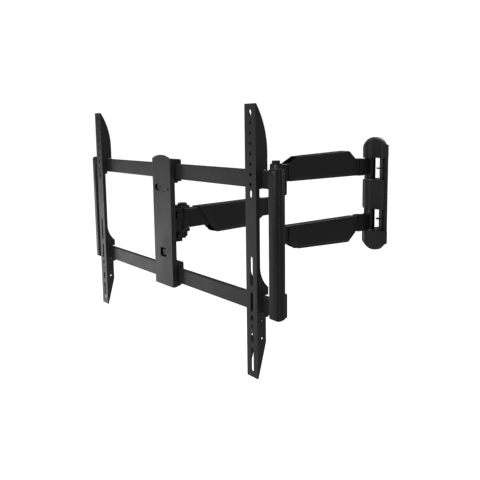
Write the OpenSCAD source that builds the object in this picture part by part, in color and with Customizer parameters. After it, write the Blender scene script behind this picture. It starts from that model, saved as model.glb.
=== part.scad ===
// Full motion television wall mount: wall plate, two wall arms, forearm,
// swivelling and tilting head, two rails and two sliding television brackets.
// Millimetres. +Z is up, the wall is the plane Y = 0 and the room is on its -Y side.
// The origin is the centre of the wall plate's back face.

/* [Rest pose] */
// Swing of the wall arms away from straight out
arm_swing = 40.2; // [0:0.5:60]
// Bend of the forearm from the line of the wall arms
elbow_bend = 5.1; // [-20:0.1:20]
// Turn of the head from the line of the forearm
head_turn = -6.3; // [-20:0.1:20]

/* [Wall plate] */
// Width of the wall plate
plate_w = 70; // [60:1:100]
// Height of the wall plate
plate_h = 268; // [260:1:340]
// Depth of the wall plate from the wall to its front face
plate_d = 9; // [6:0.5:12]
// Thickness of the wall plate's sheet steel
plate_t = 3; // [2:0.5:4]
// Distance between the two wall bolt holes
wall_bolt_gap = 244; // [240:1:250]
// Diameter of the wall bolt holes
wall_bolt_d = 9; // [6:0.5:10]
// Distance from the wall to the shoulder axis
pivot_y = 42; // [40:1:56]

/* [Arms] */
// Length of the wall arms between axes
arm_len = 345; // [290:1:420]
// Length of the forearm between axes
forearm_len = 285; // [240:1:340]
// Height of the wall arms above and below the forearm
arm_offset = 75.5; // [72:0.5:84]
// Height of a wall arm's tube
arm_h = 42; // [35:1:46]
// Height of the forearm's tube
forearm_h = 40; // [34:1:48]
// Width of the arm tubes
arm_w = 22; // [18:1:26]
// Wall of the arm tubes
arm_t = 2.5; // [1.5:0.5:3]
// Height of the barrels on the shoulder axis
barrel_h = 56.6; // [52:0.2:60]
// How much closer to the forearm the barrels lie than the tubes
barrel_drop = 6; // [4:0.5:8]
// Outside diameter of the barrels
barrel_d = 30; // [26:1:34]
// Diameter of the bolts that the arms turn on
pivot_d = 12; // [10:0.4:14.4]

/* [Arm covers] */
// Thickness of the covers' plastic
cover_t = 2.2; // [1.5:0.1:3]
// Height of the cable channel above or below a tube
channel_h = 17; // [14:1:22]
// How much higher the wall arms' covers are at their shoulder end
cover_rise = 7; // [4:1:10]

/* [Head] */
// Distance from the television's back to the swivel axis
head_y = 48; // [46:1:60]
// Height of the tilt axis above the forearm's centre line
tilt_z = -31; // [-36:1:-28]
// Height of the tilt locking bolt above the forearm's centre line
tilt_lock_z = 11; // [8:1:14]
// Tilt of the screen's top away from the wall
tilt_forward = 15; // [5:1:15]
// Tilt of the screen's top towards the wall
tilt_back = 5; // [2:1:5]
// Diameter of the tilt and levelling bolts
bolt_d = 8; // [6:1:8]

/* [Rail frame] */
// Length of the rails
rail_len = 668; // [600:1:802]
// Height of a rail
rail_h = 30; // [26:1:36]
// Depth of a rail
rail_d = 9; // [8:0.5:10]
// Wall of a rail's tube
rail_t = 1.8; // [1.2:0.1:2.4]
// Distance between the rails' centre lines
rail_gap = 210.5; // [205:0.5:225]
// Height of the frame's centre above the forearm's centre line
frame_z = -5.25; // [-9:0.25:-4]
// Width of the centre plate
centre_w = 70; // [66:1:80]
// Levelling of the rail frame each way
level_range = 3; // [1:0.5:3]

/* [Television brackets] */
// Length of a television bracket
bracket_h = 460; // [440:1:500]
// Width of a television bracket
bracket_w = 28.4; // [26:0.2:32]
// Thickness of the bracket's sheet steel
bracket_t = 2; // [1.5:0.1:2.5]
// Distance between the two brackets' centre lines as stored
bracket_spread = 578; // [400:1:578]
// Pitch of the row of bolt holes
hole_pitch = 16.6667; // [16:0.1:17]
// Diameter of the television bolt holes
hole_d = 6.4; // [5:0.1:8.4]

/* [Hidden] */
$fn = 48;
eps = 0.01;
run_fit = 0.05;
flat_gap = 0.2;
slide_gap = 0.4;
bush_t = 2;
flange_t = 1.5;
ear_t = 6;
nut_af = pivot_d * 1.5;
swivel_af = pivot_d * 1.4;
small_af = bolt_d * 1.6;

// Barrels, bushes and ears
bush_r = pivot_d / 2 + bush_t;
barrel_r = barrel_d / 2;
shoulder_z = arm_offset - barrel_drop;
ear_gap = barrel_h + 2 * flange_t + 2 * flat_gap;
ear_r = barrel_r + 1;
elbow_barrel_h = 2 * (arm_offset - arm_h / 2 - flange_t - flat_gap);
bush_len = 16;
cap_low = shoulder_z + ear_gap / 2 - 1;
cap_high = plate_h / 2 + 18;
middle_high = shoulder_z - ear_gap / 2 + 1;
cap_gap = 1.2;
cap_side_gap = 1;
cap_front = pivot_y + ear_r + cap_gap;
seat_half = 20;
bolt_seat_d = wall_bolt_d + 7;
key_slot_z = 24;
key_slot_w = 7;
elbow_washer_t = 2;
swivel_washer_t = 1.6;
bolt_tail = 14;
large = 200;

// Head
tilt_y = -25;
web_y = -20;
web_back = -barrel_r;
head_ear_in = forearm_h / 2 + flange_t + flat_gap;
lug_x = 21.8;
lug_t = 4.8;
lug_r = 6.5;
cheek_t = 3;
head_ear_t = 5;
tilt_washer_t = 1.6;
tilt_washer_d = bolt_d * 1.8;
cheek_x = lug_x + flat_gap;
slot_clear = 0.4;
// How much wider the drilled ends of the tilt slots are than the slots
slot_end_extra = 0.6;
tilt_r = tilt_lock_z - tilt_z;

// Centre plate, bridge and level plate, from the front face backwards
sheet = 2.5;
front_y = -head_y;
bridge_y = front_y + 6.2;
level_y = bridge_y + sheet + flat_gap;
level_t = 3;
level_back = level_y + level_t;
level_w = 50;
rail_y = front_y + 13;
rail_back = rail_y + rail_d;
clamp_t = 5.5;
clamp_low = 5;
upper_clamp_top = 9;
lower_clamp_top = 12;
upper_rail_z = frame_z + rail_gap / 2;
lower_rail_z = frame_z - rail_gap / 2;
centre_low = lower_rail_z - rail_h / 2 - 8.5;
centre_high = upper_rail_z + rail_h / 2 + 17.5;
arch_h = 7.5;
level_pivot_z = lower_rail_z + rail_h / 2 + 30;
level_bolt_z = upper_rail_z - rail_h / 2 - 18.5;
level_bolt_x = -15.7;

// Side covers
side_w = 18;
side_in = rail_len / 2 - 9;
side_d = 25;
side_y = rail_y + rail_d / 2 - side_d / 2;
side_over = 3.5;

// Television bracket: depths behind its front face
flange_d = 24.7;
waist_d = 7.5;
notch_d = rail_y - front_y - slide_gap;
lip_t = 2.3;
low_d = 19;
lock_y = low_d / 2 + 1;
lock_drop = 12;
lock_d = 4;
bracket_low = lower_rail_z - rail_h / 2 - 112;
bracket_high = bracket_low + bracket_h;

// ---------- Places ----------

module at_wall_arms() {
  translate([0, -pivot_y, 0]) rotate([0, 0, arm_swing]) children();
}

module at_forearm() {
  at_wall_arms() translate([0, -arm_len, 0]) rotate([0, 0, elbow_bend]) children();
}

// Origin on the swivel axis, the television on the -Y side
module at_head() {
  at_forearm() translate([0, -forearm_len, 0]) rotate([0, 0, head_turn]) children();
}

module both_sides() {
  children();
  mirror([1, 0, 0]) children();
}

module up_and_down() {
  children();
  mirror([0, 0, 1]) children();
}

// ---------- Shared shapes ----------

module rounded_rect(w, h, r) {
  union() {
    square([w - 2 * r, h], center = true);
    square([w, h - 2 * r], center = true);
    for (x = [-1, 1], y = [-1, 1]) {
      translate([x * (w / 2 - r), y * (h / 2 - r)]) circle(r = r);
    }
  }
}

module slot_2d(length, width) {
  union() {
    square([length - width, width], center = true);
    for (x = [-1, 1]) translate([x * (length - width) / 2, 0]) circle(d = width);
  }
}

// Hexagon of a given width across flats, with its corners chamfered at the far end
module hex_body(af, h) {
  intersection() {
    cylinder(d = af / cos(30), h = h, $fn = 6);
    cylinder(d1 = af * 1.5, d2 = af * 0.95, h = h * 1.35);
  }
}

// Bolt standing on its shank's end, with its hexagonal head on top
module hex_bolt(d, length, af, head_h) {
  cylinder(d = d, h = length);
  translate([0, 0, length]) hex_body(af, head_h);
}

// Low rounded head with a hexagonal socket, on a shank that ends at z = 0
module button_bolt(d, length, head_d, head_h) {
  cylinder(d = d, h = length);
  difference() {
    translate([0, 0, length]) intersection() {
      cylinder(d = head_d, h = head_h);
      cylinder(d1 = head_d * 1.5, d2 = head_d * 0.8, h = head_h * 1.25);
    }
    translate([0, 0, length + head_h / 2]) cylinder(d = d * 0.62, h = head_h, $fn = 6);
  }
}

module hex_nut(af, h, bore) {
  difference() {
    hex_body(af, h);
    translate([0, 0, -eps]) cylinder(d = bore, h = h * 2);
  }
}

module washer(outer, bore, h) {
  difference() {
    cylinder(d = outer, h = h);
    translate([0, 0, -1]) cylinder(d = bore, h = h + 2);
  }
}

// Flanged bush that stands in a bore, its flange on top at z = 0
module flanged_bush(length, flange_r) {
  difference() {
    union() {
      translate([0, 0, -length]) cylinder(r = bush_r, h = length);
      cylinder(r = flange_r, h = flange_t);
    }
    translate([0, 0, -length - 1]) {
      cylinder(r = pivot_d / 2 + run_fit, h = length + flange_t + 2);
    }
  }
}

// ---------- Wall side ----------

// Folded tray with its rim against the wall, and a seat behind each bolt hole
module wall_plate() {
  color("#262626") difference() {
    union() {
      difference() {
        translate([-plate_w / 2, -plate_d, -plate_h / 2]) cube([plate_w, plate_d, plate_h]);
        translate([-plate_w / 2 + plate_t, plate_t - plate_d, -plate_h / 2 + plate_t]) {
          cube([plate_w - 2 * plate_t, plate_d, plate_h - 2 * plate_t]);
        }
      }
      for (z = [-1, 1] * wall_bolt_gap / 2) {
        translate([0, 0, z]) rotate([90, 0, 0]) cylinder(d = bolt_seat_d, h = plate_d);
      }
    }
    for (z = [-1, 1] * wall_bolt_gap / 2) {
      translate([0, 1, z]) rotate([90, 0, 0]) cylinder(d = wall_bolt_d, h = plate_d + 2);
    }
    rotate([90, 0, 0]) translate([0, 0, -1]) linear_extrude(plate_d + 2) {
      for (z = [-1, 1] * key_slot_z) translate([0, z]) slot_2d(plate_w * 0.45, key_slot_w);
    }
  }
}

// Bent steel bracket: a back plate, two ears and a stiffening rib between them
module pivot_bracket() {
  ear_in = ear_gap / 2;
  back = 3;
  rib_w = 18;
  rib_t = 3.2;
  rib_reach = pivot_y - plate_d - ear_r - 3;
  difference() {
    union() {
      translate([-seat_half, -plate_d - back, -ear_in - ear_t]) {
        cube([2 * seat_half, back, 2 * (ear_in + ear_t)]);
      }
      up_and_down() translate([0, 0, ear_in]) linear_extrude(ear_t) union() {
        polygon([[-seat_half, -plate_d], [seat_half, -plate_d], [ear_r, -pivot_y], [-ear_r, -pivot_y]]);
        translate([0, -pivot_y]) circle(r = ear_r);
      }
      translate([-rib_w / 2, -plate_d - rib_reach, -rib_t / 2]) cube([rib_w, rib_reach, rib_t]);
    }
    translate([0, -pivot_y, -ear_in - ear_t - 1]) {
      cylinder(r = pivot_d / 2, h = 2 * (ear_in + ear_t) + 2);
    }
  }
}

module upper_pivot_bracket() {
  color("#1c1c1c") translate([0, 0, shoulder_z]) pivot_bracket();
}

module lower_pivot_bracket() {
  color("#1c1c1c") translate([0, 0, -shoulder_z]) pivot_bracket();
}

// Plan of the caps: straight sides along the plate, drawn in to a round nose
module cap_plan(grow) {
  nose = ear_r + cap_gap + grow;
  side = plate_w / 2 + cap_side_gap + grow;
  straight = plate_d + 6 + grow;
  union() {
    polygon([[-side, 0], [-side, -straight], [-nose, -pivot_y],
             [nose, -pivot_y], [side, -straight], [side, 0]]);
    translate([0, -pivot_y]) circle(r = nose);
  }
}

// Side view of the upper cap, rounded where the top meets the front and the wall
module cap_side(grow) {
  top = cap_high - cap_low;
  r_front = 28;
  r_back = 20;
  union() {
    translate([-cap_front - grow, -1]) square([cap_front + 2 * grow, top - r_front + 1]);
    translate([-r_back, 0]) square([r_back + grow, top - r_back]);
    translate([r_front - cap_front, 0]) square([cap_front - r_front - r_back, top + grow]);
    translate([r_front - cap_front, top - r_front]) circle(r = r_front + grow);
    translate([-r_back, top - r_back]) circle(r = r_back + grow);
  }
}

module cap_solid(grow) {
  intersection() {
    translate([0, 0, -1]) linear_extrude(cap_high) cap_plan(grow);
    translate([-large / 2, 0, 0]) rotate([90, 0, 90]) linear_extrude(large) cap_side(grow);
    translate([-large / 2, -large, 0]) cube([large, large, large]);
  }
}

module wall_cap() {
  plate_gap = 0.3;
  translate([0, 0, cap_low]) difference() {
    cap_solid(cover_t);
    translate([0, 0, -cover_t]) cap_solid(0);
    translate([0, 0, -0.5]) linear_extrude(ear_t + 2) cap_plan(0);
    translate([-plate_w / 2 - plate_gap, -plate_d, -1]) {
      cube([plate_w + 2 * plate_gap, plate_d + 1, plate_h / 2 - cap_low + 1 + plate_gap]);
    }
  }
}

module top_cap() {
  color("#2b2b2b") wall_cap();
}

module bottom_cap() {
  color("#2b2b2b") mirror([0, 0, 1]) wall_cap();
}

module middle_cover() {
  front = cap_front + cover_t;
  corner = 7;
  color("#2a2a2a") intersection() {
    translate([0, 0, -middle_high]) linear_extrude(2 * middle_high) difference() {
      cap_plan(cover_t);
      cap_plan(0);
      translate([-large / 2, -plate_d - 0.3]) square([large, large / 2]);
    }
    translate([-large / 2, 0, 0]) rotate([90, 0, 90]) linear_extrude(large) {
      rounded_rect(2 * front, 2 * middle_high, corner);
    }
  }
}

module shoulder_bolts() {
  length = ear_gap + 2 * ear_t + bolt_tail;
  color("#6d6d6d") for (z = [-1, 1] * shoulder_z) {
    translate([0, -pivot_y, z + (ear_gap / 2 + ear_t) - length]) {
      hex_bolt(pivot_d, length, nut_af, pivot_d * 0.6);
    }
  }
}

module shoulder_nuts() {
  color("#6d6d6d") for (z = [-1, 1] * shoulder_z) {
    translate([0, -pivot_y, z - ear_gap / 2 - ear_t]) mirror([0, 0, 1]) {
      hex_nut(nut_af, pivot_d * 0.8, pivot_d);
    }
  }
}

// ---------- Wall arms ----------

module tube(length, height) {
  rotate([90, 0, 0]) linear_extrude(length) difference() {
    rounded_rect(arm_w, height, 3);
    rounded_rect(arm_w - 2 * arm_t, height - 2 * arm_t, 1);
  }
}

// One arm: a tube between the shoulder barrel and the eye on the elbow axis
module wall_arm() {
  difference() {
    union() {
      difference() {
        translate([0, -2, 0]) tube(arm_len - 4, arm_h);
        for (y = [0, -arm_len]) {
          translate([0, y, -arm_h]) cylinder(r = barrel_r - 1, h = 2 * arm_h);
        }
      }
      translate([0, 0, -barrel_drop - barrel_h / 2]) cylinder(r = barrel_r, h = barrel_h);
      translate([0, -arm_len, -arm_h / 2]) cylinder(r = barrel_r, h = arm_h);
    }
    translate([0, 0, -barrel_drop - barrel_h]) cylinder(r = pivot_d / 2 + 1, h = 2 * barrel_h);
    translate([0, 0, -barrel_drop]) up_and_down() translate([0, 0, barrel_h / 2 - bush_len]) {
      cylinder(r = bush_r, h = bush_len + 1);
    }
    translate([0, -arm_len, -arm_h]) cylinder(r = pivot_d / 2, h = 2 * arm_h);
  }
}

module upper_arm() {
  color("#161616") at_wall_arms() translate([0, 0, arm_offset]) wall_arm();
}

module lower_arm() {
  color("#161616") at_wall_arms() mirror([0, 0, 1]) translate([0, 0, arm_offset]) wall_arm();
}

// Plastic sleeve with flat raised sides. Its outline is given from the elbow to the
// shoulder as [distance from the elbow, height above the tube's centre]. The cable
// channel beside the tube is as high as near at its first end and far at its last.
module sleeve(outline, inset, height, from, to, near, far) {
  half = arm_w / 2 + 0.3;
  roof = height / 2 - cover_t;
  difference() {
    hull() {
      rotate([90, 0, 90]) linear_extrude(2 * half + 2 * cover_t, center = true) {
        polygon(outline);
      }
      rotate([90, 0, 90]) linear_extrude(2 * half + 2 * cover_t + 4, center = true) {
        polygon(inset);
      }
    }
    translate([-half, from - 40, -height / 2 - 0.3]) cube([2 * half, to - from + 80, height + 0.6]);
    rotate([90, 0, 90]) linear_extrude(2 * half, center = true) {
      polygon([[from - 40, 0], [from - 40, roof + near], [from + 40, roof + near],
               [to - 40, roof + far], [to + 40, roof + far], [to + 40, 0]]);
    }
  }
}

arm_top = arm_h / 2;
cover_from = 30;
cover_to = arm_len - 72;

module wall_arm_cover() {
  low = -arm_top;
  near = arm_top + channel_h;
  far = near + cover_rise;
  translate([0, -arm_len, 0]) sleeve(
    [[cover_from, low], [cover_from, arm_top + 1], [cover_from + 14, arm_top + 7],
     [cover_from + 32, near], [cover_to - 28, far], [cover_to, arm_top + 0.5],
     [cover_to + 8, low]],
    [[cover_from + 14, low + 7], [cover_from + 20, arm_top - 3], [cover_from + 42, near - 8],
     [cover_to - 38, far - 8], [cover_to - 18, arm_top - 6], [cover_to - 20, low + 7]],
    arm_h, cover_from, cover_to + 8, channel_h, channel_h + cover_rise);
}

module upper_arm_cover() {
  color("#131313") at_wall_arms() translate([0, 0, arm_offset]) wall_arm_cover();
}

module lower_arm_cover() {
  color("#131313") at_wall_arms() mirror([0, 0, 1]) translate([0, 0, arm_offset]) wall_arm_cover();
}

module shoulder_bushes() {
  color("#d8d6cc") translate([0, -pivot_y, 0]) for (z = [-1, 1] * shoulder_z) {
    translate([0, 0, z]) up_and_down() translate([0, 0, barrel_h / 2]) {
      flanged_bush(bush_len, barrel_r - 1);
    }
  }
}

// Spring clips that hold the cables to the bare stretch of each wall arm
module cable_clips() {
  outer = [arm_w + 3.6, arm_h + 3.6];
  clip_w = 18;
  gap = 12;
  color("#1a1a1a") at_wall_arms() for (z = [-1, 1] * arm_offset) {
    translate([0, cover_to + 16 - arm_len + clip_w, z]) rotate([90, 0, 0]) linear_extrude(clip_w) {
      difference() {
        rounded_rect(outer[0], outer[1], 4);
        rounded_rect(arm_w + 0.4, arm_h + 0.4, 3);
        translate([-outer[0], -gap / 2]) square([outer[0] - 4, gap]);
      }
    }
  }
}

module cover_screws() {
  color("#4a4a4a") at_wall_arms() up_and_down() {
    translate([0, cover_from + 30 - arm_len, arm_offset + arm_top + channel_h - 3.4]) {
      translate([0, 0, -6]) button_bolt(4, 6.6, 8, 3);
    }
  }
}

elbow_span = 2 * (arm_offset + arm_h / 2);

module elbow_bolt() {
  length = elbow_span + 2 * elbow_washer_t + bolt_tail;
  color("#8a8a8a") at_forearm() translate([0, 0, elbow_span / 2 + elbow_washer_t - length]) {
    hex_bolt(pivot_d, length, nut_af, pivot_d * 0.6);
  }
}

module elbow_nut() {
  color("#8a8a8a") at_forearm() translate([0, 0, -elbow_span / 2 - elbow_washer_t]) mirror([0, 0, 1]) {
    hex_nut(nut_af, pivot_d * 0.8, pivot_d);
  }
}

module elbow_washers() {
  color("#7a7a7a") at_forearm() up_and_down() translate([0, 0, elbow_span / 2]) {
    washer(barrel_d - 4, pivot_d, elbow_washer_t);
  }
}

// ---------- Forearm ----------

module forearm() {
  color("#161616") at_forearm() difference() {
    union() {
      difference() {
        translate([0, -2, 0]) tube(forearm_len - 4, forearm_h);
        for (y = [0, -forearm_len]) {
          translate([0, y, -forearm_h]) cylinder(r = barrel_r - 3, h = 2 * forearm_h);
        }
      }
      translate([0, 0, -elbow_barrel_h / 2]) cylinder(r = barrel_r, h = elbow_barrel_h);
      translate([0, -forearm_len, -forearm_h / 2]) cylinder(r = barrel_r - 2, h = forearm_h);
    }
    translate([0, 0, -elbow_barrel_h]) cylinder(r = pivot_d / 2 + 1, h = 2 * elbow_barrel_h);
    up_and_down() translate([0, 0, elbow_barrel_h / 2 - bush_len]) {
      cylinder(r = bush_r, h = bush_len + 1);
    }
    translate([0, -forearm_len, -forearm_h]) cylinder(r = pivot_d / 2 + 1, h = 2 * forearm_h);
    translate([0, -forearm_len, 0]) up_and_down() translate([0, 0, forearm_h / 2 - bush_len]) {
      cylinder(r = bush_r, h = bush_len + 1);
    }
  }
}

module forearm_cover() {
  top = forearm_h / 2;
  low = top + channel_h + 1;
  front = 36;
  back = forearm_len - 46;
  color("#131313") at_forearm() translate([0, -forearm_len, 0]) mirror([0, 0, 1]) sleeve(
    [[front, -top - 1.5], [front + 28, top], [front + 48, low], [back - 52, low],
     [back - 14, top], [back, -top - 1.5]],
    [[front + 20, -top + 5], [front + 40, top - 3], [front + 58, low - 7], [back - 60, low - 8],
     [back - 30, top - 6], [back - 20, -top + 5]],
    forearm_h, front, back, channel_h + 2, channel_h + 2);
}

module elbow_bushes() {
  color("#d8d6cc") at_forearm() up_and_down() translate([0, 0, elbow_barrel_h / 2]) {
    flanged_bush(bush_len, barrel_r - 1);
  }
}

module swivel_bushes() {
  color("#d8d6cc") at_head() up_and_down() translate([0, 0, forearm_h / 2]) {
    flanged_bush(bush_len, barrel_r - 3);
  }
}

// ---------- Swivel head ----------

module along_x(y, z) {
  translate([0, y, z]) rotate([0, 90, 0]) children();
}

module swivel_head() {
  low = tilt_z - 11;
  color("#1e1e1e") at_head() difference() {
    union() {
      translate([-lug_x, web_y, low]) cube([2 * lug_x, web_back - web_y, head_ear_in + head_ear_t - low]);
      up_and_down() translate([0, 0, head_ear_in]) linear_extrude(head_ear_t) union() {
        polygon([[-lug_x, web_y], [lug_x, web_y], [lug_x, web_back], [barrel_r, 0], [-barrel_r, 0],
                 [-lug_x, web_back]]);
        circle(r = barrel_r);
      }
      both_sides() translate([lug_x - lug_t, 0, 0]) {
        rotate([90, 0, 90]) linear_extrude(lug_t) union() {
          translate([tilt_y - lug_r, tilt_z]) square([web_y - tilt_y + lug_r + 1, tilt_r]);
          for (z = [tilt_z, tilt_lock_z]) {
            translate([tilt_y, z]) circle(r = lug_r);
            translate([tilt_y, z - lug_r]) square([web_y - tilt_y + 1, 2 * lug_r]);
          }
        }
      }
    }
    translate([0, 0, -forearm_h * 2]) cylinder(r = pivot_d / 2, h = forearm_h * 4);
    for (z = [tilt_z, tilt_lock_z]) {
      along_x(tilt_y, z) cylinder(r = bolt_d / 2, h = 100, center = true);
    }
  }
}

head_span = 2 * (head_ear_in + head_ear_t);

module swivel_bolt() {
  length = head_span + 2 * swivel_washer_t + bolt_tail - 1;
  color("#8a8a8a") at_head() translate([0, 0, head_span / 2 + swivel_washer_t - length]) {
    hex_bolt(pivot_d, length, swivel_af, pivot_d * 0.3);
  }
}

module swivel_nut() {
  color("#8a8a8a") at_head() translate([0, 0, -head_span / 2 - swivel_washer_t]) mirror([0, 0, 1]) {
    hex_nut(swivel_af, pivot_d * 0.8, pivot_d);
  }
}

module swivel_washers() {
  color("#7a7a7a") at_head() up_and_down() translate([0, 0, head_span / 2]) {
    washer(barrel_d - 10, pivot_d, swivel_washer_t);
  }
}

cheek_out = cheek_x + cheek_t;

// Bolt across the head with a washer face under its head, held on by a nut
module tilt_bolt(z) {
  length = 2 * cheek_out + 2 * flat_gap + bolt_d + 2;
  at_head() along_x(tilt_y, z) translate([0, 0, cheek_out + flat_gap - length]) {
    cylinder(d = bolt_d, h = length);
    translate([0, 0, length]) cylinder(d = tilt_washer_d, h = tilt_washer_t);
    translate([0, 0, length + tilt_washer_t]) hex_body(small_af, bolt_d * 0.6);
  }
}

module tilt_pivot_bolt() {
  color("#9a9a9a") tilt_bolt(tilt_z);
}

module tilt_lock_bolt() {
  color("#9a9a9a") tilt_bolt(tilt_lock_z);
}

module tilt_nuts() {
  color("#9a9a9a") at_head() for (z = [tilt_z, tilt_lock_z]) {
    along_x(tilt_y, z) translate([0, 0, -cheek_out - flat_gap]) mirror([0, 0, 1]) {
      difference() {
        union() {
          cylinder(d = tilt_washer_d, h = tilt_washer_t);
          translate([0, 0, tilt_washer_t]) hex_body(small_af, bolt_d * 0.8);
        }
        translate([0, 0, -1]) cylinder(d = bolt_d, h = 30);
      }
    }
  }
}

// ---------- Tilt bracket ----------

// Curved slot about the tilt axis, seen from the side
module tilt_slot_2d() {
  width = bolt_d + 2 * slot_clear;
  swing = tilt_forward + tilt_back + 2;
  middle = 90 - (tilt_forward - tilt_back) / 2;
  union() {
    intersection() {
      difference() {
        circle(r = tilt_r + width / 2);
        circle(r = tilt_r - width / 2);
      }
      polygon([[0, 0], for (a = [-1, 1]) 100 * [cos(middle + a * swing / 2), sin(middle + a * swing / 2)]]);
    }
    for (a = [-1, 1]) {
      rotate(middle + a * swing / 2) translate([tilt_r, 0]) circle(d = width + slot_end_extra);
    }
  }
}

module tilt_cheek_2d() {
  high = tilt_lock_z + 14;
  low = tilt_z - 12;
  back = tilt_y + 8;
  difference() {
    translate([level_back, low]) square([back - level_back, high - low]);
    translate([tilt_y, tilt_z]) circle(r = bolt_d / 2 + run_fit);
    translate([tilt_y, tilt_z]) tilt_slot_2d();
  }
}

module tilt_bracket() {
  low = level_pivot_z - 14;
  high = level_bolt_z + 11;
  color("#202020") at_head() difference() {
    union() {
      translate([0, level_back, (low + high) / 2]) rotate([90, 0, 0]) linear_extrude(level_t) {
        rounded_rect(level_w, high - low, 8);
      }
      both_sides() translate([cheek_x, 0, 0]) rotate([90, 0, 90]) {
        linear_extrude(cheek_t) tilt_cheek_2d();
      }
    }
    for (p = [[0, level_pivot_z], [level_bolt_x, level_bolt_z]]) {
      translate([p[0], 0, p[1]]) rotate([90, 0, 0]) cylinder(r = bolt_d / 2, h = 100);
    }
  }
}

// Button headed bolt that clamps the bridge to the level plate
module clamp_bolt(x, z) {
  head_h = bridge_y - front_y - sheet - 2.5 * flat_gap;
  tail = level_back + 9;
  at_head() translate([x, tail, z]) rotate([90, 0, 0]) {
    button_bolt(bolt_d, tail - bridge_y + flat_gap, bolt_d * 1.6, head_h);
  }
}

module level_bolt() {
  color("#8f8f8f") clamp_bolt(level_bolt_x, level_bolt_z);
}

module level_pivot_bolt() {
  color("#8f8f8f") clamp_bolt(0, level_pivot_z);
}

module level_nuts() {
  color("#8f8f8f") at_head() for (p = [[0, level_pivot_z], [level_bolt_x, level_bolt_z]]) {
    translate([p[0], level_back, p[1]]) rotate([-90, 0, 0]) hex_nut(small_af, 6.5, bolt_d);
  }
}

// ---------- Rail frame ----------

// Front outline of the centre plate, with its shallow arched top
module centre_outline() {
  r = (pow(centre_w / 2, 2) + pow(arch_h, 2)) / (2 * arch_h);
  intersection() {
    translate([-centre_w / 2, centre_low]) square([centre_w, centre_high - centre_low + 5]);
    union() {
      translate([-centre_w, centre_low - 5]) square([2 * centre_w, centre_high - centre_low - 20]);
      translate([0, centre_high - r]) circle(r = r, $fn = 160);
    }
  }
}

module centre_plate() {
  flange = rail_y - front_y - 2.5;
  window_w = 22.5;
  window_h = 13;
  mark_d = 4;
  mark_x = 39;
  color("#3d3d3d") at_head() difference() {
    union() {
      translate([0, front_y + sheet, 0]) rotate([90, 0, 0]) linear_extrude(sheet) {
        difference() {
          centre_outline();
          translate([level_bolt_x, level_bolt_z]) slot_2d(window_w, window_h);
          translate([level_bolt_x + mark_x, level_bolt_z - 2]) circle(d = mark_d);
          translate([0, level_pivot_z]) rounded_rect(23, 18, 3);
        }
      }
      both_sides() translate([centre_w / 2 - sheet, front_y, centre_low]) {
        cube([sheet, flange, centre_high - arch_h - 2 - centre_low]);
      }
      translate([-centre_w / 2, front_y, centre_low]) cube([centre_w, flange, sheet]);
    }
  }
}

module rail_bridge() {
  low = centre_low + sheet;
  high = upper_rail_z + rail_h / 2;
  inner = centre_w / 2 - sheet;
  color("#2c2c2c") at_head() translate([0, bridge_y + sheet, 0]) rotate([90, 0, 0]) {
    linear_extrude(sheet) difference() {
      translate([-inner, low]) square([2 * inner, high - low]);
      translate([level_bolt_x, level_bolt_z]) rotate(atan2(-level_bolt_x, level_bolt_z - level_pivot_z)) {
        slot_2d(bolt_d + 2 * 1.1 * level_range / 57.3 * (level_bolt_z - level_pivot_z) + 1, bolt_d + 1);
      }
      translate([0, level_pivot_z]) circle(r = bolt_d / 2 + run_fit);
    }
  }
}

module rail(z) {
  at_head() translate([-rail_len / 2, rail_y + rail_d / 2, z]) rotate([90, 0, 90]) {
    linear_extrude(rail_len) difference() {
      rounded_rect(rail_d, rail_h, 1.6);
      rounded_rect(rail_d - 2 * rail_t, rail_h - 2 * rail_t, 0.5);
    }
  }
}

module upper_rail() {
  color("#444444") rail(upper_rail_z);
}

module lower_rail() {
  color("#444444") rail(lower_rail_z);
}

// Saddle that holds a rail against the centre plate: over, behind and under the rail
module rail_clamp(z, top_h, bottom_h) {
  wide = centre_w - 2 * sheet;
  half = rail_h / 2;
  front = bridge_y + sheet;
  round = 3;
  at_head() translate([-wide / 2, 0, z]) rotate([90, 0, 90]) linear_extrude(wide) union() {
    translate([rail_back, -half - bottom_h]) {
      square([clamp_t, rail_h + bottom_h + top_h - round]);
    }
    translate([front, half]) square([rail_back + clamp_t - round - front, top_h]);
    translate([front, half]) square([rail_back + clamp_t - front, top_h - round]);
    translate([rail_back + clamp_t - round, half + top_h - round]) circle(r = round);
    translate([front, -half - bottom_h]) square([rail_back + clamp_t - front, bottom_h]);
  }
}

module upper_rail_clamp() {
  color("#202020") rail_clamp(upper_rail_z, upper_clamp_top, clamp_low);
}

module lower_rail_clamp() {
  color("#202020") rail_clamp(lower_rail_z, lower_clamp_top, clamp_low);
}

module clamp_screws() {
  x = centre_w / 2 - 9;
  color("#2a2a2a") at_head() both_sides() for (z = [upper_rail_z, lower_rail_z]) {
    translate([x, rail_y + rail_d / 2, z - rail_h / 2 - clamp_low]) mirror([0, 0, 1]) {
      cylinder(d = 10, h = 2);
      translate([0, 0, 2]) cylinder(d1 = 10, d2 = 7, h = 1.4);
    }
  }
}

// Plan of a side cover: flat inner face, outer face with two flutes
module side_plan() {
  difference() {
    translate([side_w / 2, 0]) rounded_rect(side_w, side_d, 5);
    for (y = [-1, 1] * side_d * 0.16) translate([side_w + 0.8, y]) circle(r = 2);
  }
}

// Outline of a side cover seen from the end, rounded at the top and the bottom
module side_outline(low, high) {
  translate([0, (high + low) / 2]) rounded_rect(side_d, high - low, 9);
}

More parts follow.
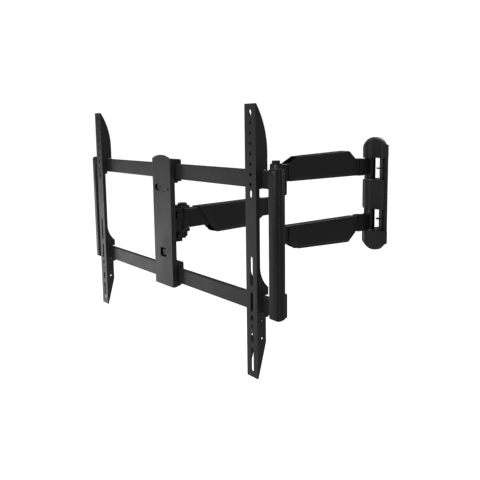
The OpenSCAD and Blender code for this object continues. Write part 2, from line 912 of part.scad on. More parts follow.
module side_cover() {
  wall = 2.4;
  high = upper_rail_z + rail_h / 2 + side_over;
  low = lower_rail_z - rail_h / 2 - side_over - 1;
  pad_h = rail_h + 12;
  translate([side_in, side_y + side_d / 2, 0]) difference() {
    union() {
      intersection() {
        translate([0, 0, low - 5]) linear_extrude(high - low + 10) side_plan();
        translate([-1, 0, 0]) rotate([90, 0, 90]) linear_extrude(side_w + 2) side_outline(low, high);
      }
      for (z = [high - pad_h / 2 - 1, low + pad_h / 2 + 1]) {
        translate([0, side_d / 2 - 3, z]) rotate([90, 0, 90]) linear_extrude(side_w - 5) {
          rounded_rect(18, pad_h, 3);
        }
      }
    }
    translate([-1, wall - side_d / 2, lower_rail_z + rail_h / 2 + 8]) {
      cube([side_w - wall - 2, side_d - 2 * wall, rail_gap - rail_h - 16]);
    }
    for (z = [upper_rail_z, lower_rail_z]) {
      translate([-1, -rail_d / 2, z - rail_h / 2]) cube([10, rail_d, rail_h]);
    }
  }
}

module right_side_cover() {
  color("#232323") at_head() side_cover();
}

module left_side_cover() {
  color("#232323") at_head() mirror([1, 0, 0]) side_cover();
}

module side_cover_screws() {
  back = side_y + side_d + 6;
  color("#3a3a3a") at_head() both_sides() for (z = [upper_rail_z, lower_rail_z]) {
    translate([side_in + 5, back, z]) rotate([-90, 0, 0]) intersection() {
      cylinder(d = 8, h = 2.2);
      cylinder(d1 = 11, d2 = 6, h = 2.6);
    }
  }
}

// ---------- Television brackets ----------

// Outline of a bracket's flange seen from the side: [depth behind the face, height]
module flange_2d() {
  upper_top = upper_rail_z + rail_h / 2 + slide_gap;
  upper_low = upper_rail_z - rail_h / 2 - slide_gap;
  lower_top = lower_rail_z + rail_h / 2 + slide_gap;
  lower_low = lower_rail_z - rail_h / 2 - slide_gap;
  lobe_z = upper_top + 28;
  tail_h = 50;
  rise = bracket_high - lobe_z;
  lobe_in = flange_d - bracket_t;
  lobe_r = (rise * rise + lobe_in * lobe_in) / (2 * lobe_in);
  sweep_z = lower_top + 51;
  sweep_h = 37;
  sweep_in = flange_d - waist_d;
  sweep_r = (sweep_h * sweep_h + sweep_in * sweep_in) / (2 * sweep_in);
  difference() {
    union() {
      intersection() {
        translate([0, lobe_z]) square([flange_d, rise]);
        translate([flange_d - lobe_r, lobe_z]) circle(r = lobe_r, $fn = 200);
      }
      translate([0, upper_low]) square([flange_d, lobe_z - upper_low]);
      translate([0, sweep_z - sweep_h]) square([waist_d, upper_low - sweep_z + sweep_h]);
      difference() {
        translate([0, sweep_z - sweep_h]) square([flange_d, sweep_h]);
        translate([waist_d + sweep_r, sweep_z]) circle(r = sweep_r, $fn = 160);
      }
      translate([0, lower_low - 7]) square([flange_d, sweep_z - sweep_h - lower_low + 7]);
      polygon([[0, lower_low], [low_d, lower_low], [low_d, lower_low - tail_h], [bracket_t, bracket_low],
               [0, bracket_low]]);
    }
    for (z = [[upper_low, upper_top], [lower_low, lower_top]]) {
      translate([notch_d, z[0]]) square([rail_d + 2 * slide_gap, z[1] - z[0]]);
    }
    translate([notch_d + 1, upper_low - 1]) square([30, rail_h - 7]);
    translate([notch_d + 1, lower_low + 8]) square([30, rail_h - 7.2 + 2 * slide_gap]);
    for (z = [lock_drop, lock_drop + 30]) translate([lock_y, lower_low - z]) circle(d = lock_d);
  }
}

// Round holes and slots of a bracket's face, measured from its upper end
module bracket_holes_2d() {
  for (i = [0 : 6]) translate([0, bracket_high - 31 - i * hole_pitch]) circle(d = hole_d);
  translate([0, bracket_high - 370.5]) circle(d = hole_d);
  for (s = [[9.5, 20.2], [140, 152.5], [251, 301.5], [312, 346], [351.5, 362], [382.5, 399.5],
            [407.5, 450]]) {
    translate([0, bracket_high - (s[0] + s[1]) / 2]) rotate(90) slot_2d(s[1] - s[0], hole_d);
  }
}

module tv_bracket(side) {
  x = side * bracket_spread / 2;
  color("#404040") at_head() translate([x, front_y, 0]) union() {
    translate([0, bracket_t, 0]) rotate([90, 0, 0]) linear_extrude(bracket_t) difference() {
      translate([-bracket_w / 2, bracket_low]) square([bracket_w, bracket_h]);
      bracket_holes_2d();
    }
    both_sides() translate([bracket_w / 2 - bracket_t, 0, 0]) rotate([90, 0, 90]) {
      linear_extrude(bracket_t) difference() {
        flange_2d();
        translate([-1, bracket_low - 1]) square([1 + bracket_t / 2, bracket_h + 2]);
      }
    }
  }
}

module left_tv_bracket() {
  tv_bracket(-1);
}

module right_tv_bracket() {
  tv_bracket(1);
}

// Thumb screw across the two flanges, below the lower rail
module lock_screw(side) {
  z = lower_rail_z - rail_h / 2 - slide_gap - lock_drop;
  half = bracket_w / 2;
  color("#b0b0b0") at_head() translate([side * bracket_spread / 2, 0, 0]) {
    along_x(front_y + lock_y, z) {
      translate([0, 0, -half]) cylinder(d = lock_d, h = 2 * half);
      translate([0, 0, half]) cylinder(d = 8, h = 1);
      translate([0, 0, half + 1]) cylinder(d1 = 7, d2 = 5, h = 1.6);
      translate([0, 0, -half]) mirror([0, 0, 1]) hex_body(7, 3.2);
    }
  }
}

module left_lock_screws() {
  lock_screw(-1);
}

module right_lock_screws() {
  lock_screw(1);
}

wall_plate();
upper_pivot_bracket();
lower_pivot_bracket();
top_cap();
middle_cover();
bottom_cap();
shoulder_bolts();
shoulder_nuts();
upper_arm();
lower_arm();
upper_arm_cover();
lower_arm_cover();
shoulder_bushes();
cable_clips();
cover_screws();
elbow_bolt();
elbow_nut();
elbow_washers();
forearm();
forearm_cover();
elbow_bushes();
swivel_bushes();
swivel_head();
swivel_bolt();
swivel_nut();
swivel_washers();
tilt_pivot_bolt();
tilt_lock_bolt();
tilt_nuts();
tilt_bracket();
level_bolt();
level_pivot_bolt();
level_nuts();
centre_plate();
rail_bridge();
upper_rail();
lower_rail();
upper_rail_clamp();
lower_rail_clamp();
clamp_screws();
left_side_cover();
right_side_cover();
side_cover_screws();
left_tv_bracket();
left_lock_screws();
right_tv_bracket();
right_lock_screws();
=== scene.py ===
import math

import bmesh
import bpy
from mathutils import Matrix, Vector


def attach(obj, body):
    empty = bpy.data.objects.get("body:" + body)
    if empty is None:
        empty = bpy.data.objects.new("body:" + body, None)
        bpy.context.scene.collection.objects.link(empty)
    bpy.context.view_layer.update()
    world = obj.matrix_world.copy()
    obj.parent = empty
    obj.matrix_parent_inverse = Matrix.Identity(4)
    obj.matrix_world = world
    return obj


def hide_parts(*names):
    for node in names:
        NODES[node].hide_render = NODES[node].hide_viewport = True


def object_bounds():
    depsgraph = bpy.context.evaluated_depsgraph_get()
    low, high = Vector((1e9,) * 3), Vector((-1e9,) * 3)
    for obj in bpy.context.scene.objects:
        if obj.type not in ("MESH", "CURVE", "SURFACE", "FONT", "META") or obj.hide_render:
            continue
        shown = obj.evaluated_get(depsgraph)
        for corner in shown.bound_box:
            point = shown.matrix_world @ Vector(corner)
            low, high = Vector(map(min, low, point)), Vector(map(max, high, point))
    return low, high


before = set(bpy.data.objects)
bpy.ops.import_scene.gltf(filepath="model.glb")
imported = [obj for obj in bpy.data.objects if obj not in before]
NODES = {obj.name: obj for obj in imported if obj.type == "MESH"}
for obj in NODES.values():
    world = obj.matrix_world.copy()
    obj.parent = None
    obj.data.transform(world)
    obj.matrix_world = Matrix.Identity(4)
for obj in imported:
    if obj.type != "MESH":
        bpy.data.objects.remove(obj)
cad_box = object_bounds()
MM = 0.001

# Camera: place and turn in the row frame, found from the object's own edges
CAMERA_PLACE = (1.66791, -0.35028, 0.18405)
CAMERA_TURN = (82.219, 0.750, 91.567)
CAMERA_LENS = 45.515
CAMERA_SHIFT_Y = -0.0612


def make_camera():
    data = bpy.data.cameras.new("camera")
    data.lens = CAMERA_LENS
    data.sensor_width = 36.0
    data.shift_y = CAMERA_SHIFT_Y
    data.clip_start = 0.01
    data.clip_end = 60.0
    cam = bpy.data.objects.new("camera", data)
    cam.location = CAMERA_PLACE
    cam.rotation_euler = [math.radians(a) for a in CAMERA_TURN]
    bpy.context.scene.collection.objects.link(cam)
    bpy.context.scene.camera = cam


# ---------- Materials ----------


class Nodes:
    """Builds one material's node tree."""

    def __init__(self, name):
        self.mat = bpy.data.materials.new(name)
        self.mat.use_nodes = True
        self.tree = self.mat.node_tree
        self.tree.nodes.clear()
        self.out = self.add("ShaderNodeOutputMaterial")
        self.shader = self.add("ShaderNodeBsdfPrincipled")
        self.link(self.shader.outputs[0], self.out.inputs[0])
        self.coords = self.add("ShaderNodeTexCoord").outputs["Object"]

    def add(self, kind, **values):
        n = self.tree.nodes.new(kind)
        for k, v in values.items():
            if k in n.inputs:
                n.inputs[k].default_value = v
            else:
                setattr(n, k, v)
        return n

    def link(self, a, b):
        self.tree.links.new(a, b)

    def noise(self, scale, detail=2.0, rough=0.5, stretch=None):
        n = self.add("ShaderNodeTexNoise", Scale=scale, Detail=detail, Roughness=rough)
        src = self.coords
        if stretch:
            m = self.add("ShaderNodeMapping")
            m.inputs["Scale"].default_value = stretch
            self.link(src, m.inputs["Vector"])
            src = m.outputs[0]
        self.link(src, n.inputs["Vector"])
        return n.outputs["Fac"]

    def span(self, value, low, high, to_low, to_high):
        n = self.add("ShaderNodeMapRange")
        n.inputs["From Min"].default_value = low
        n.inputs["From Max"].default_value = high
        n.inputs["To Min"].default_value = to_low
        n.inputs["To Max"].default_value = to_high
        self.link(value, n.inputs["Value"])
        return n.outputs[0]

    def math(self, op, a, b):
        n = self.add("ShaderNodeMath", operation=op)
        for i, v in enumerate((a, b)):
            if isinstance(v, (int, float)):
                n.inputs[i].default_value = v
            else:
                self.link(v, n.inputs[i])
        return n.outputs[0]

    def mix(self, fac, a, b):
        n = self.add("ShaderNodeMix", data_type="RGBA")
        self.link(fac, n.inputs["Factor"])
        for sock, v in (("A", a), ("B", b)):
            s = [i for i in n.inputs if i.name == sock and i.type == "RGBA"][0]
            if isinstance(v, tuple):
                s.default_value = (*v, 1.0)
            else:
                self.link(v, s)
        return [o for o in n.outputs if o.type == "RGBA"][0]

    def bump(self, height, strength, distance, under=None):
        n = self.add("ShaderNodeBump")
        n.inputs["Strength"].default_value = strength
        n.inputs["Distance"].default_value = distance
        self.link(height, n.inputs["Height"])
        if under:
            self.link(under, n.inputs["Normal"])
        return n.outputs[0]

    def edges(self, radius):
        """1 along sharp outer edges and 0 on faces."""
        b = self.add("ShaderNodeBevel", samples=4)
        b.inputs["Radius"].default_value = radius
        g = self.add("ShaderNodeNewGeometry")
        d = self.add("ShaderNodeVectorMath", operation="DOT_PRODUCT")
        self.link(b.outputs[0], d.inputs[0])
        self.link(g.outputs["Normal"], d.inputs[1])
        return self.span(d.outputs["Value"], 0.985, 0.86, 0.0, 1.0)


def coated(name, colour, rough, edge_colour, grain=1.0):
    """Powder-coated steel: fine orange peel, cloudy gloss, paint thinned at the edges."""
    m = Nodes(name)
    cloud = m.noise(9.0, 4.0, 0.6)
    speck = m.noise(420.0, 3.0, 0.7)
    dark = tuple(c * 0.82 for c in colour)
    light = tuple(min(1.0, c * 1.2) for c in colour)
    body = m.mix(m.span(cloud, 0.3, 0.7, 0.0, 1.0), dark, light)
    body = m.mix(m.span(speck, 0.55, 0.75, 0.0, 0.35), body, tuple(min(1.0, c * 2.0) for c in colour))
    worn = m.math("MULTIPLY", m.edges(0.0007), m.span(m.noise(60.0, 3.0), 0.42, 0.62, 0.0, 0.75))
    body = m.mix(worn, body, edge_colour)
    m.link(body, m.shader.inputs["Base Color"])
    smear = m.noise(22.0, 5.0, 0.65)
    m.link(m.span(smear, 0.25, 0.75, rough - 0.06, rough + 0.08), m.shader.inputs["Roughness"])
    peel = m.bump(m.noise(650.0, 2.0), 0.22 * grain, 0.00012)
    fine = m.bump(m.noise(2600.0, 1.0), 0.12 * grain, 0.00004, peel)
    m.link(fine, m.shader.inputs["Normal"])
    return m.mat


def moulded(name, colour, rough, grain=1.0):
    """Moulded plastic with a fine spark-eroded texture."""
    m = Nodes(name)
    cloud = m.noise(7.0, 3.0, 0.55)
    dark = tuple(c * 0.85 for c in colour)
    light = tuple(min(1.0, c * 1.2) for c in colour)
    body = m.mix(m.span(cloud, 0.3, 0.7, 0.0, 1.0), dark, light)
    worn = m.math("MULTIPLY", m.edges(0.0008), m.span(m.noise(40.0, 3.0), 0.4, 0.7, 0.1, 0.6))
    body = m.mix(worn, body, tuple(min(1.0, c * 2.6 + 0.01) for c in colour))
    m.link(body, m.shader.inputs["Base Color"])
    m.link(m.span(m.noise(16.0, 4.0, 0.6), 0.25, 0.75, rough - 0.05, rough + 0.07),
           m.shader.inputs["Roughness"])
    v = m.add("ShaderNodeTexVoronoi", Scale=1500.0)
    m.link(m.coords, v.inputs["Vector"])
    eroded = m.bump(v.outputs["Distance"], 0.18 * grain, 0.00008)
    m.link(m.bump(m.noise(300.0, 2.0), 0.1 * grain, 0.0001, eroded), m.shader.inputs["Normal"])
    return m.mat


def plated(name, colour, rough, stain):
    """Zinc-plated steel: cloudy plating with fine tool marks."""
    m = Nodes(name)
    cloud = m.noise(160.0, 4.0, 0.6)
    body = m.mix(m.span(cloud, 0.3, 0.7, 0.0, 1.0), stain, colour)
    m.link(body, m.shader.inputs["Base Color"])
    m.shader.inputs["Metallic"].default_value = 1.0
    m.link(m.span(m.noise(240.0, 4.0, 0.7), 0.25, 0.75, rough - 0.08, rough + 0.12),
           m.shader.inputs["Roughness"])
    marks = m.bump(m.noise(700.0, 2.0, 0.5, (1.0, 1.0, 9.0)), 0.16, 0.00006)
    m.link(marks, m.shader.inputs["Normal"])
    return m.mat


def nylon(name):
    m = Nodes(name)
    body = m.mix(m.span(m.noise(60.0, 3.0), 0.3, 0.7, 0.0, 1.0), (0.5, 0.49, 0.44), (0.62, 0.61, 0.56))
    m.link(body, m.shader.inputs["Base Color"])
    m.shader.inputs["Subsurface Weight"].default_value = 0.15
    m.shader.inputs["Subsurface Radius"].default_value = (0.002, 0.002, 0.0015)
    m.link(m.span(m.noise(120.0, 2.0), 0.3, 0.7, 0.38, 0.5), m.shader.inputs["Roughness"])
    m.link(m.bump(m.noise(900.0, 2.0), 0.15, 0.00006), m.shader.inputs["Normal"])
    return m.mat


EDGE = (0.05, 0.05, 0.05)
MATERIALS = {
    "arm": coated("arm_steel", (0.0065, 0.0065, 0.007), 0.40, EDGE),
    "rail": coated("rail_steel", (0.017, 0.017, 0.0175), 0.43, EDGE),
    "bracket": coated("bracket_steel", (0.016, 0.016, 0.0165), 0.42, EDGE),
    "centre": coated("centre_plate_steel", (0.017, 0.017, 0.0175), 0.43, EDGE),
    "black": coated("black_steel", (0.007, 0.007, 0.0075), 0.42, EDGE),
    "weld": coated("weld_bead", (0.0075, 0.0075, 0.008), 0.34, EDGE),
    "arm_cover": moulded("arm_cover_plastic", (0.0075, 0.0075, 0.008), 0.42),
    "side_cover": moulded("side_cover_plastic", (0.0085, 0.0085, 0.009), 0.38),
    # Caps: base colour lighter than the other black plastics, raised to stand in for the highlights on
    # their domed crowns, so a painted highlight
    "cap": moulded("cap_plastic", (0.017, 0.017, 0.0175), 0.34),
    "clip": moulded("clip_plastic", (0.007, 0.007, 0.0075), 0.46),
    "nylon": nylon("nylon"),
    "zinc": plated("black_zinc_fasteners", (0.085, 0.085, 0.09), 0.33, (0.04, 0.04, 0.042)),
    "pivot": plated("pivot_fasteners", (0.07, 0.07, 0.074), 0.36, (0.035, 0.035, 0.037)),
    "screw": plated("black_screws", (0.05, 0.05, 0.052), 0.34, (0.03, 0.03, 0.032)),
}

# CAD node: (material, bevel width in mm)
LOOKS = {
    "wall_plate": ("black", 0.8),
    "upper_pivot_bracket": ("arm", 0.8),
    "lower_pivot_bracket": ("arm", 0.8),
    "top_cap": ("cap", 0.5),
    "middle_cover": ("cap", 0.5),
    "bottom_cap": ("cap", 0.5),
    "shoulder_bolts": ("pivot", 0.3),
    "shoulder_nuts": ("pivot", 0.3),
    "upper_arm": ("arm", 0.5),
    "lower_arm": ("arm", 0.5),
    "upper_arm_cover": ("arm_cover", 2.0),
    "lower_arm_cover": ("arm_cover", 2.0),
    "shoulder_bushes": ("nylon", 0.3),
    "cable_clips": ("clip", 0.4),
    "cover_screws": ("screw", 0.2),
    "elbow_bolt": ("zinc", 0.3),
    "elbow_nut": ("zinc", 0.3),
    "elbow_washers": ("zinc", 0.2),
    "forearm": ("arm", 0.5),
    "forearm_cover": ("arm_cover", 2.0),
    "elbow_bushes": ("nylon", 0.3),
    "swivel_bushes": ("nylon", 0.3),
    "swivel_head": ("black", 0.6),
    "swivel_bolt": ("zinc", 0.3),
    "swivel_nut": ("zinc", 0.3),
    "swivel_washers": ("zinc", 0.2),
    "tilt_pivot_bolt": ("zinc", 0.25),
    "tilt_lock_bolt": ("zinc", 0.25),
    "tilt_nuts": ("zinc", 0.25),
    "tilt_bracket": ("black", 0.5),
    "level_bolt": ("zinc", 0.2),
    "level_pivot_bolt": ("zinc", 0.2),
    "level_nuts": ("zinc", 0.2),
    "centre_plate": ("centre", 0.5),
    "rail_bridge": ("black", 0.4),
    "upper_rail": ("rail", 0.3),
    "lower_rail": ("rail", 0.3),
    "upper_rail_clamp": ("black", 0.5),
    "lower_rail_clamp": ("black", 0.5),
    "clamp_screws": ("screw", 0.2),
    "left_side_cover": ("side_cover", 0.9),
    "right_side_cover": ("side_cover", 0.9),
    "side_cover_screws": ("screw", 0.2),
    "left_tv_bracket": ("bracket", 0.4),
    "left_lock_screws": ("zinc", 0.2),
    "right_tv_bracket": ("bracket", 0.4),
    "right_lock_screws": ("zinc", 0.2),
}


# Moulded shells without hard edges: voxel size in mm and rounds of smoothing
SOFT = {"middle_cover": (0.8, 8)}
DOMED = {"top_cap": 1, "bottom_cap": -1}
CAP_MIDDLE = -30.7
CAP_HALF_W, CAP_HALF_D = 40.5, 32.8
CAP_TOP = 154.2
DOME_FROM = 122.0
DOME_DROP = 17.0


def soften(obj, voxel, rounds):
    remesh = obj.modifiers.new("remesh", "REMESH")
    remesh.mode = "VOXEL"
    remesh.voxel_size = voxel * MM
    remesh.use_smooth_shade = True
    smooth = obj.modifiers.new("smooth", "SMOOTH")
    smooth.factor = 0.5
    smooth.iterations = rounds


def dress_nodes():
    for name, (material, width) in LOOKS.items():
        obj = NODES[name]
        obj.data.materials.clear()
        obj.data.materials.append(MATERIALS[material])
        weld = obj.modifiers.new("weld", "WELD")
        weld.merge_threshold = 1e-6
        if name in SOFT:
            soften(obj, *SOFT[name])
            continue
        bevel = obj.modifiers.new("bevel", "BEVEL")
        bevel.width = width * MM
        bevel.segments = 2
        bevel.limit_method = "ANGLE"
        bevel.angle_limit = math.radians(40)
        bevel.use_clamp_overlap = True
        bevel.harden_normals = True


# ---------- Places on the CAD, in mm ----------

PIVOT_Y = 42.0
ARM_LEN = 345.0
FOREARM_LEN = 285.0
ARM_SWING, ELBOW_BEND, HEAD_TURN = 40.2, 5.1, -6.3
ARM_Z = 75.5
ARM_W, ARM_H, FOREARM_H = 22.0, 42.0, 40.0
BARREL_R = 15.0
BARREL_H = 56.6
BARREL_Z = 69.5
ELBOW_BARREL_H = 105.6
FRONT_Y = -48.0


def place(y, turn):
    return Matrix.Translation((0, y, 0)) @ Matrix.Rotation(math.radians(turn), 4, "Z")


AT_ARMS = place(-PIVOT_Y, ARM_SWING)
AT_FOREARM = AT_ARMS @ place(-ARM_LEN, ELBOW_BEND)
AT_HEAD = AT_FOREARM @ place(-FOREARM_LEN, HEAD_TURN)
FLIP = Matrix.Scale(-1, 4, (0, 0, 1))


# ---------- Added pieces ----------


def add_piece(name, verts, faces, at, body, material, smooth=True):
    """A mesh piece from points in mm in the place at, riding on a CAD body."""
    mesh = bpy.data.meshes.new(name)
    mesh.from_pydata([(at @ Vector(v)) * MM for v in verts], [], faces)
    bm = bmesh.new()
    bm.from_mesh(mesh)
    bmesh.ops.recalc_face_normals(bm, faces=bm.faces)
    bm.to_mesh(mesh)
    bm.free()
    for poly in mesh.polygons:
        poly.use_smooth = smooth
    mesh.materials.append(MATERIALS[material])
    obj = bpy.data.objects.new(name, mesh)
    bpy.context.scene.collection.objects.link(obj)
    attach(obj, body)
    return obj


def sweep(path, ring, closed=False):
    """Points and faces of ring(i) = [(across, up), ...] carried along a path."""
    count = len(path)
    verts, faces = [], []
    normal = None
    for i, p in enumerate(path):
        ahead = path[(i + 1) % count] if closed else path[min(i + 1, count - 1)]
        behind = path[i - 1] if closed or i else path[0]
        along = (ahead - behind).normalized()
        if normal is None:
            normal = along.orthogonal().normalized()
        normal = (normal - along * normal.dot(along)).normalized()
        side = along.cross(normal)
        verts += [p + normal * a + side * b for a, b in ring(i)]
    n = len(ring(0))
    for i in range(count if closed else count - 1):
        j = (i + 1) % count
        for k in range(n):
            m = (k + 1) % n
            faces.append((i * n + k, i * n + m, j * n + m, j * n + k))
    if not closed:
        faces += [tuple(range(n)), tuple((count - 1) * n + k for k in range(n))]
    return verts, faces


def spaced(points, step, closed=False):
    """The same path, with a point every step mm."""
    if closed:
        points = points + points[:1]
    out = [points[0]]
    for a, b in zip(points, points[1:]):
        parts = max(1, round((b - a).length / step))
        out += [a.lerp(b, (k + 1) / parts) for k in range(parts)]
    return out[:-1] if closed else out


def weld_bead(name, points, at, body, radius, closed=False):
    """A rippled bead along a joint between two welded parts."""
    path = spaced([Vector(p) for p in points], 0.8, closed)
    rim = 8
    last = len(path) - 1

    def ring(i):
        ripple = 0.84 + 0.16 * abs(math.cos(i * math.pi / 3))
        fade = 1.0 if closed else min(1.0, 0.55 + 0.15 * min(i, last - i))
        r = radius * ripple * fade
        return [(r * math.cos(k * math.tau / rim), r * math.sin(k * math.tau / rim)) for k in range(rim)]

    verts, faces = sweep(path, ring, closed)
    return add_piece(name, verts, faces, at, body, "weld")


def thread(name, at, body, low, high, radius, pitch, material):
    """Rolled thread standing on the end of a bolt, about the place's own z axis."""
    per_turn = 28
    count = int((high - low) / pitch * per_turn)
    rim = []
    for i in range(count + 1):
        a = i * math.tau / per_turn
        rim.append((a, low + pitch * i / per_turn))
    verts, faces = [], []
    for i, (a, z) in enumerate(rim):
        tall = 0.42 * min(1.0, i / 6, (count - i) / 6) + 0.02
        for r, dz in ((radius - 0.15, -0.42 * pitch), (radius + tall, 0.0), (radius - 0.15, 0.42 * pitch)):
            verts.append((r * math.cos(a), r * math.sin(a), z + dz))
    for i in range(count):
        for k in range(3):
            m = (k + 1) % 3
            faces.append((3 * i + k, 3 * i + m, 3 * i + 3 + m, 3 * i + 3 + k))
    faces += [(0, 1, 2), (3 * count, 3 * count + 1, 3 * count + 2)]
    return add_piece(name, verts, faces, at, body, material, smooth=False)


def tube_joint(half_w, half_h, corner, radius, centre_z=0.0):
    """Where a rounded tube along y meets an upright barrel: a closed loop of points."""
    loop = []
    for quarter in range(4):
        cx = (half_w - corner) * (1, -1, -1, 1)[quarter]
        cz = (half_h - corner) * (1, 1, -1, -1)[quarter]
        for k in range(7):
            a = math.radians(90 * quarter + 15 * k)
            x = cx + corner * math.cos(a)
            loop.append((x, -math.sqrt(radius ** 2 - x ** 2), cz + corner * math.sin(a) + centre_z))
        if quarter in (0, 2):
            ahead = -1 if quarter == 0 else 1
            for k in range(1, 8):
                x = cx - (cx * 2) * k / 8
                loop.append((x, -math.sqrt(radius ** 2 - x ** 2), ahead * -1 * half_h + centre_z))
    return loop


def upright(x, y, low, high):
    return [(x, y, low), (x, y, high)]


def make_welds():
    for name, flip in (("upper", Matrix()), ("lower", FLIP)):
        at = AT_ARMS @ flip @ Matrix.Translation((0, 0, ARM_Z))
        loop = tube_joint(ARM_W / 2, ARM_H / 2, 3.0, BARREL_R)
        weld_bead(name + "_arm_shoulder_weld", loop, at, "wall_arms", 1.5, closed=True)
        near = math.sqrt(BARREL_R ** 2 - (ARM_W / 2) ** 2)
        for side, x in (("left", -ARM_W / 2), ("right", ARM_W / 2)):
            line = upright(x, near - ARM_LEN, 3.5 - ARM_H / 2, ARM_H / 2 - 3.5)
            weld_bead("%s_arm_elbow_weld_%s" % (name, side), line, at, "wall_arms", 1.3)
        seat = FLIP if name == "lower" else Matrix()
        for side, x in (("left", -1), ("right", 1)):
            for level, z in (("high", BARREL_Z + 29.9), ("low", BARREL_Z - 29.9)):
                line = [(x * 4.0, -12.0, z), (x * 18.5, -12.0, z)]
                weld_bead("%s_bracket_weld_%s_%s" % (name, side, level), line, seat, "wall_base", 1.2)
    loop = tube_joint(ARM_W / 2, FOREARM_H / 2, 3.0, BARREL_R)
    weld_bead("forearm_elbow_weld", loop, AT_FOREARM, "front_arm", 1.5, closed=True)
    eye = math.sqrt(13.0 ** 2 - (ARM_W / 2) ** 2)
    for side, x in (("left", -ARM_W / 2), ("right", ARM_W / 2)):
        line = upright(x, eye - FOREARM_LEN, 3.5 - FOREARM_H / 2, FOREARM_H / 2 - 3.5)
        weld_bead("forearm_head_weld_" + side, line, AT_FOREARM, "front_arm", 1.0)


def make_threads():
    """Threads on the bolt ends that stand out of their nuts."""
    ends = (
        ("elbow", AT_FOREARM, "wall_arms", -112.5, -108.5, 6.0, 1.75),
        ("swivel", AT_HEAD, "head", -41.0, -38.1, 6.0, 1.75),
    )
    for name, at, body, low, high, radius, pitch in ends:
        thread(name + "_bolt_thread", at, body, low, high, radius, pitch, "zinc")


def lid(name, near, far, half_w, raised, at, body):
    """Long lid with round ends on a cover, from near to far: (distance along y, height)."""
    ends = 10
    outline = []
    for k in range(ends + 1):
        a = math.radians(180 * k / ends)
        outline.append((half_w * math.cos(a), far[0] - half_w + half_w * math.sin(a)))
    for k in range(ends + 1):
        a = math.radians(180 + 180 * k / ends)
        outline.append((half_w * math.cos(a), near[0] + half_w + half_w * math.sin(a)))
    slope = (far[1] - near[1]) / (far[0] - near[0])
    middle = (near[0] + far[0]) / 2
    layers = ((1.0, -0.8), (1.0, raised - 0.4), (0.97, raised - 0.12), (0.9, raised))
    verts, faces = [], []
    for grow, up in layers:
        for x, y in outline:
            shrink = half_w * (1 - grow)
            x2 = x * grow
            y2 = y - math.copysign(shrink, y - middle)
            verts.append((x2, y2, near[1] + slope * (y2 - near[0]) + up))
    n = len(outline)
    for layer in range(len(layers) - 1):
        for k in range(n):
            m = (k + 1) % n
            faces.append((layer * n + k, layer * n + m, (layer + 1) * n + m, (layer + 1) * n + k))
    faces.append(tuple(range(n)))
    faces.append(tuple((len(layers) - 1) * n + k for k in range(n)))
    return add_piece(name, verts, faces, at, body, "side_cover", smooth=False)


def make_lids():
    for name, flip in (("upper", Matrix()), ("lower", FLIP)):
        at = AT_ARMS @ flip @ Matrix.Translation((0, -ARM_LEN, ARM_Z))
        lid(name + "_cable_lid", (76.0, 38.46), (236.0, 44.66), 8.0, 0.9, at, "wall_arms")
    at = AT_FOREARM @ FLIP @ Matrix.Translation((0, -FOREARM_LEN, 0))
    lid("forearm_cable_lid", (92.0, 38.0), (180.0, 38.0), 8.0, 0.9, at, "front_arm")


def make_level_mark():
    """Raised oval beside the levelling slot of the centre plate."""
    count = 64
    loop = []
    for k in range(count):
        a = k * math.tau / count
        loop.append(Vector((11.0 + 16.0 * math.cos(a), FRONT_Y, 66.0 + 7.5 * math.sin(a))))
    rim = [(0.34 * math.cos(k * math.tau / 8), 0.34 * math.sin(k * math.tau / 8)) for k in range(8)]
    verts, faces = sweep(loop, lambda i: rim, closed=True)
    add_piece("level_mark", verts, faces, AT_HEAD, "rail_frame", "black")


def dome_drop(x, y, z):
    """How far a point of a cap comes down, in mm, so that its top is a soft dome."""
    power = 2.4
    out = (abs(x / CAP_HALF_W) ** power + abs((y - CAP_MIDDLE) / CAP_HALF_D) ** power) ** (1 / power)
    out = min(out, 0.99)
    part = min(1.0, max(0.0, (z - DOME_FROM) / (CAP_TOP - DOME_FROM)))
    part = part * part * (3 - 2 * part)
    return DOME_DROP * part * (1 - math.sqrt(1 - out ** 2.6))


def reshaped(node, name, body, material, rounds, move):
    """A softened copy of a CAD shell, with its points moved by move, in the node's place."""
    source = NODES[node].copy()
    source.data = NODES[node].data.copy()
    source.modifiers.clear()
    bpy.context.scene.collection.objects.link(source)
    soften(source, 0.8, rounds)
    graph = bpy.context.evaluated_depsgraph_get()
    mesh = bpy.data.meshes.new_from_object(source.evaluated_get(graph))
    bpy.data.objects.remove(source)
    for v in mesh.vertices:
        v.co = move(v.co / MM) * MM
    mesh.materials.clear()
    mesh.materials.append(MATERIALS[material])
    shell = bpy.data.objects.new(name, mesh)
    bpy.context.scene.collection.objects.link(shell)
    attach(shell, body)
    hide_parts(node)


def make_caps():
    """Moulded caps: the CAD shells with a domed top and no hard edges."""
    for node, up in DOMED.items():
        def dome(p, up=up):
            return Vector((p.x, p.y, p.z - up * dome_drop(p.x, p.y, up * p.z)))

        reshaped(node, node + "_shell", "wall_base", "cap", 10, dome)


# ---------- Floor and light ----------

FLOOR_HALF = 14.0
FLOOR_DROP = 0.85
FLOOR_GLOW = 0.95
WORLD_LIGHT = 0.19
WORLD_SEEN = 1.05
# name, place, (width, height), power in watts
LIGHTS = (
    ("front", (-0.75, -2.4, -0.5), (1.1, 0.8), 6.0),
    ("key", (1.3, -1.9, 2.3), (1.4, 1.0), 20.0),
    ("fill", (2.5, -1.1, 1.3), (1.0, 1.0), 26.0),
    ("back", (-1.6, 1.2, 1.6), (1.6, 1.0), 14.0),
)


def seen_by_camera(m):
    return m.add("ShaderNodeLightPath").outputs["Is Camera Ray"]


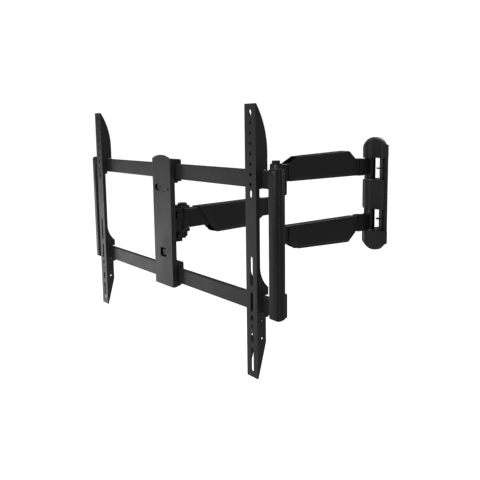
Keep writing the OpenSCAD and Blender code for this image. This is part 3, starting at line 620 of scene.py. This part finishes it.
def make_floor():
    """Pale floor that the exposure takes to white, as a studio sweep does."""
    m = Nodes("floor")
    body = m.mix(m.span(m.noise(0.6, 2.0), 0.3, 0.7, 0.0, 1.0), (0.84, 0.84, 0.84), (0.9, 0.9, 0.9))
    m.link(body, m.shader.inputs["Base Color"])
    m.shader.inputs["Roughness"].default_value = 0.8
    m.shader.inputs["Emission Color"].default_value = (1.0, 1.0, 1.0, 1.0)
    m.link(m.math("MULTIPLY", seen_by_camera(m), FLOOR_GLOW), m.shader.inputs["Emission Strength"])
    mesh = bpy.data.meshes.new("floor")
    low = cad_box[0].z - FLOOR_DROP
    corners = [(-1, -1), (1, -1), (1, 1), (-1, 1)]
    mesh.from_pydata([(x * FLOOR_HALF, y * FLOOR_HALF, low) for x, y in corners], [], [(0, 1, 2, 3)])
    mesh.materials.append(m.mat)
    floor = bpy.data.objects.new("floor", mesh)
    bpy.context.scene.collection.objects.link(floor)


def area_light(name, place, target, size, power):
    data = bpy.data.lights.new(name, "AREA")
    data.shape = "RECTANGLE"
    data.size, data.size_y = size
    data.energy = power
    obj = bpy.data.objects.new(name, data)
    obj.location = place
    obj.rotation_euler = (Vector(target) - Vector(place)).to_track_quat("-Z", "Y").to_euler()
    bpy.context.scene.collection.objects.link(obj)


def make_light():
    world = bpy.data.worlds.new("studio")
    world.use_nodes = True
    tree = world.node_tree
    back = tree.nodes["Background"]
    back.inputs["Color"].default_value = (1.0, 1.0, 1.0, 1.0)
    path = tree.nodes.new("ShaderNodeLightPath")
    strength = tree.nodes.new("ShaderNodeMapRange")
    strength.inputs["To Min"].default_value = WORLD_LIGHT
    strength.inputs["To Max"].default_value = WORLD_SEEN
    tree.links.new(path.outputs["Is Camera Ray"], strength.inputs["Value"])
    tree.links.new(strength.outputs[0], back.inputs["Strength"])
    bpy.context.scene.world = world
    middle = (cad_box[0] + cad_box[1]) / 2
    for name, place, size, power in LIGHTS:
        area_light(name, place, middle, size, power)
    bpy.context.scene.view_settings.view_transform = "Standard"


make_camera()
dress_nodes()
make_caps()
make_welds()
make_threads()
make_lids()
make_level_mark()
make_floor()
make_light()
